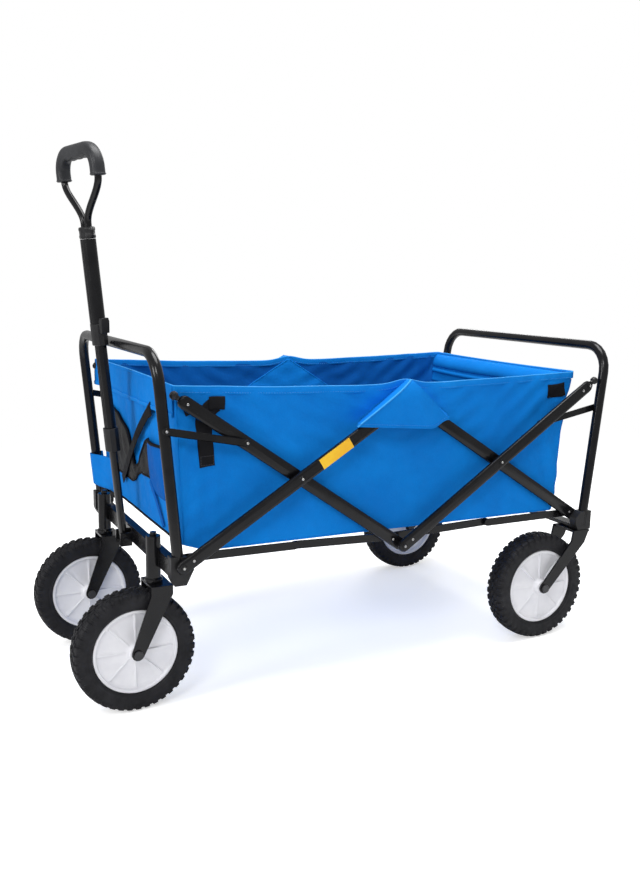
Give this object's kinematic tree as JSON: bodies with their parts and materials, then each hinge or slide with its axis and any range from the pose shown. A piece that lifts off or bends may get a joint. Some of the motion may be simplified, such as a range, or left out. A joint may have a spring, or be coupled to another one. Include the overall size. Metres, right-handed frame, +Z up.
{
  "type": "folding beach cart",
  "caption": "Folding fabric cart with a scissor side frame, swivel front wheels, fixed rear wheels and a telescoping pull handle.",
  "frame": {"origin": "on the ground under the middle of the whole cart, handle included", "axes": "+Z up, -Y towards the pull handle at the front, +X to the cart's side with the clamp lever; the cart rolls along Y and its side frame stands 2.5 degrees nose-up"},
  "size_m": [0.5442, 1.0174, 0.9127],
  "materials": {
    "black_paint": "satin black powder coat",
    "black_plastic": "fine-grained black plastic",
    "grip_plastic": "soft dark grey moulded grip",
    "zinc": "zinc-plated, slightly dull",
    "tyre_rubber": "matt black tread rubber",
    "hub_white": "white moulded plastic, satin",
    "blue_fabric": "tightly woven coated polyester",
    "board_fabric": "black woven cover over a stiff board"
  },
  "bodies": {
    "front_frame": {"front_frame_tube": "black_paint", "front_foot_left": "black_plastic", "front_foot_right": "black_plastic", "front_crossbar": "black_paint", "handle_bracket": "black_paint", "basket": "blue_fabric", "base_board": "board_fabric"},
    "front_outer_bars": {"front_outer_bar_left": "black_paint", "front_outer_bar_right": "black_paint"},
    "front_inner_bars": {"front_inner_bar_left": "black_paint", "front_inner_bar_right": "black_paint", "front_corner_tip_left": "black_plastic", "front_corner_tip_right": "black_plastic"},
    "rear_outer_bars": {"rear_outer_bar_left": "black_paint", "rear_outer_bar_right": "black_paint", "rear_corner_tip_left": "black_plastic", "rear_corner_tip_right": "black_plastic"},
    "rear_inner_bars": {"rear_inner_bar_left": "black_paint", "rear_inner_bar_right": "black_paint"},
    "rear_frame": {"rear_frame_tube": "black_paint", "rear_foot_left": "black_plastic", "rear_foot_right": "black_plastic", "rear_crossbar": "black_paint", "rear_fork_left": "black_paint", "rear_fork_right": "black_paint", "axle_rear_left": "zinc", "axle_rear_right": "zinc"},
    "front_links": {"front_link_left": "black_paint", "front_link_right": "black_paint"},
    "rear_links": {"rear_link_left": "black_paint", "rear_link_right": "black_paint"},
    "rails_front_foot": {"rail_front_foot_left": "black_paint", "rail_front_foot_right": "black_paint"},
    "rails_front_middle": {"rail_front_middle_left": "black_paint", "rail_front_middle_right": "black_paint"},
    "rails_rear_middle": {"rail_rear_middle_left": "black_paint", "rail_rear_middle_right": "black_paint"},
    "rails_rear_foot": {"rail_rear_foot_left": "black_paint", "rail_rear_foot_right": "black_paint"},
    "caster_left": {"caster_fork_left": "black_paint", "axle_front_left": "zinc"},
    "front_wheel_left": {"tyre_front_left": "tyre_rubber", "hub_front_left": "hub_white"},
    "rear_wheel_left": {"tyre_rear_left": "tyre_rubber", "hub_rear_left": "hub_white"},
    "caster_right": {"caster_fork_right": "black_paint", "axle_front_right": "zinc"},
    "front_wheel_right": {"tyre_front_right": "tyre_rubber", "hub_front_right": "hub_white"},
    "rear_wheel_right": {"tyre_rear_right": "tyre_rubber", "hub_rear_right": "hub_white"},
    "handle_base": {"handle_low_tube": "black_paint"},
    "handle_middle": {"handle_low_collar": "black_plastic", "handle_middle_tube": "black_paint"},
    "handle_top": {"handle_upper_tube": "black_paint", "handle_clamp": "black_plastic", "handle_top_collar": "black_plastic", "handle_loop": "black_paint", "handle_grip": "grip_plastic"},
    "clamp_lever": {"handle_clamp_lever": "black_plastic"}
  },
  "joints": [
    {"name": "fold", "type": "hinge", "parent": "front_frame", "child": "front_outer_bars", "pos_m": [0, -0.34763, 0.25817], "axis": [-1, 0, 0], "range_deg": [-50.13, 0], "deforming": ["basket", "base_board"]},
    {"name": "front_crossing", "type": "hinge", "parent": "front_outer_bars", "child": "front_inner_bars", "pos_m": [0, -0.14313, 0.37436], "axis": [1, 0, 0], "range_deg": [-92.19, 0]},
    {"name": "bottom_centre", "type": "hinge", "parent": "front_inner_bars", "child": "rear_outer_bars", "pos_m": [0, 0.05019, 0.23139], "axis": [1, 0, 0], "range_deg": [0, 90.49]},
    {"name": "rear_crossing", "type": "hinge", "parent": "rear_outer_bars", "child": "rear_inner_bars", "pos_m": [0, 0.2551, 0.35717], "axis": [1, 0, 0], "range_deg": [-92.19, 0]},
    {"name": "rear_foot_pivot", "type": "hinge", "parent": "rear_inner_bars", "child": "rear_frame", "pos_m": [0, 0.44883, 0.22379], "axis": [1, 0, 0], "range_deg": [0, 50.18]},
    {"name": "front_link_pivot", "type": "hinge", "parent": "front_frame", "child": "front_links", "pos_m": [0, -0.3634, 0.47255], "axis": [1, 0, 0], "range_deg": [0, 88.14]},
    {"name": "rear_link_pivot", "type": "hinge", "parent": "rear_frame", "child": "rear_links", "pos_m": [0, 0.48301, 0.43601], "axis": [1, 0, 0], "range_deg": [-88.14, 0]},
    {"name": "rail_front_foot_pivot", "type": "hinge", "parent": "front_frame", "child": "rails_front_foot", "pos_m": [0, -0.33672, 0.26501], "axis": [1, 0, 0], "range_deg": [0, 81.38]},
    {"name": "rail_front_middle_pivot", "type": "hinge", "parent": "front_inner_bars", "child": "rails_front_middle", "pos_m": [0, 0.05061, 0.24128], "axis": [1, 0, 0], "range_deg": [-29.72, 0]},
    {"name": "rail_rear_middle_pivot", "type": "hinge", "parent": "rear_outer_bars", "child": "rails_rear_middle", "pos_m": [0, 0.05061, 0.24128], "axis": [1, 0, 0], "range_deg": [0, 29.72]},
    {"name": "rail_rear_foot_pivot", "type": "hinge", "parent": "rear_frame", "child": "rails_rear_foot", "pos_m": [0, 0.43855, 0.23154], "axis": [1, 0, 0], "range_deg": [-81.38, 0]},
    {"name": "caster_swivel_left", "type": "hinge", "parent": "front_frame", "child": "caster_left", "pos_m": [0.16, -0.36835, 0.20481], "axis": [0, 0.0431, 0.9991], "continuous": true},
    {"name": "front_wheel_spin_left", "type": "hinge", "parent": "caster_left", "child": "front_wheel_left", "pos_m": [0.16, -0.40735, 0.1014], "axis": [1, 0, 0], "continuous": true},
    {"name": "rear_wheel_spin_left", "type": "hinge", "parent": "rear_frame", "child": "rear_wheel_left", "pos_m": [0.2376, 0.35787, 0.1014], "axis": [1, 0, 0], "continuous": true},
    {"name": "caster_swivel_right", "type": "hinge", "parent": "front_frame", "child": "caster_right", "pos_m": [-0.16, -0.36835, 0.20481], "axis": [0, 0.0431, 0.9991], "continuous": true},
    {"name": "front_wheel_spin_right", "type": "hinge", "parent": "caster_right", "child": "front_wheel_right", "pos_m": [-0.16, -0.40735, 0.1014], "axis": [1, 0, 0], "continuous": true},
    {"name": "rear_wheel_spin_right", "type": "hinge", "parent": "rear_frame", "child": "rear_wheel_right", "pos_m": [-0.2376, 0.35787, 0.1014], "axis": [1, 0, 0], "continuous": true},
    {"name": "handle_tilt", "type": "hinge", "parent": "front_frame", "child": "handle_base", "pos_m": [0, -0.37277, 0.24154], "axis": [1, 0, 0], "range_deg": [0, 90]},
    {"name": "handle_middle_slide", "type": "slide", "parent": "handle_base", "child": "handle_middle", "axis": [0, -0.0581, 0.9983], "range_m": [-0.1, 0]},
    {"name": "handle_top_slide", "type": "slide", "parent": "handle_middle", "child": "handle_top", "axis": [0, -0.0581, 0.9983], "range_m": [-0.1, 0]},
    {"name": "clamp_lever_turn", "type": "hinge", "parent": "handle_top", "child": "clamp_lever", "pos_m": [0.02426, -0.38893, 0.60822], "axis": [-0.2079, 0.9765, 0.0568], "range_deg": [0, 75]}
  ],
  "couplings": [
    {"joint": "front_crossing", "follows": "fold", "ratio": 1.8379},
    {"joint": "bottom_centre", "follows": "fold", "ratio": -1.8041},
    {"joint": "rear_crossing", "follows": "fold", "ratio": 1.8379},
    {"joint": "rear_foot_pivot", "follows": "fold", "ratio": -1},
    {"joint": "front_link_pivot", "follows": "fold", "ratio": -1.7573},
    {"joint": "rear_link_pivot", "follows": "fold", "ratio": 1.7573},
    {"joint": "rail_front_foot_pivot", "follows": "fold", "ratio": -1.6223},
    {"joint": "rail_front_middle_pivot", "follows": "fold", "ratio": 0.59181},
    {"joint": "rail_rear_middle_pivot", "follows": "fold", "ratio": -0.59181},
    {"joint": "rail_rear_foot_pivot", "follows": "fold", "ratio": 1.6223}
  ]
}
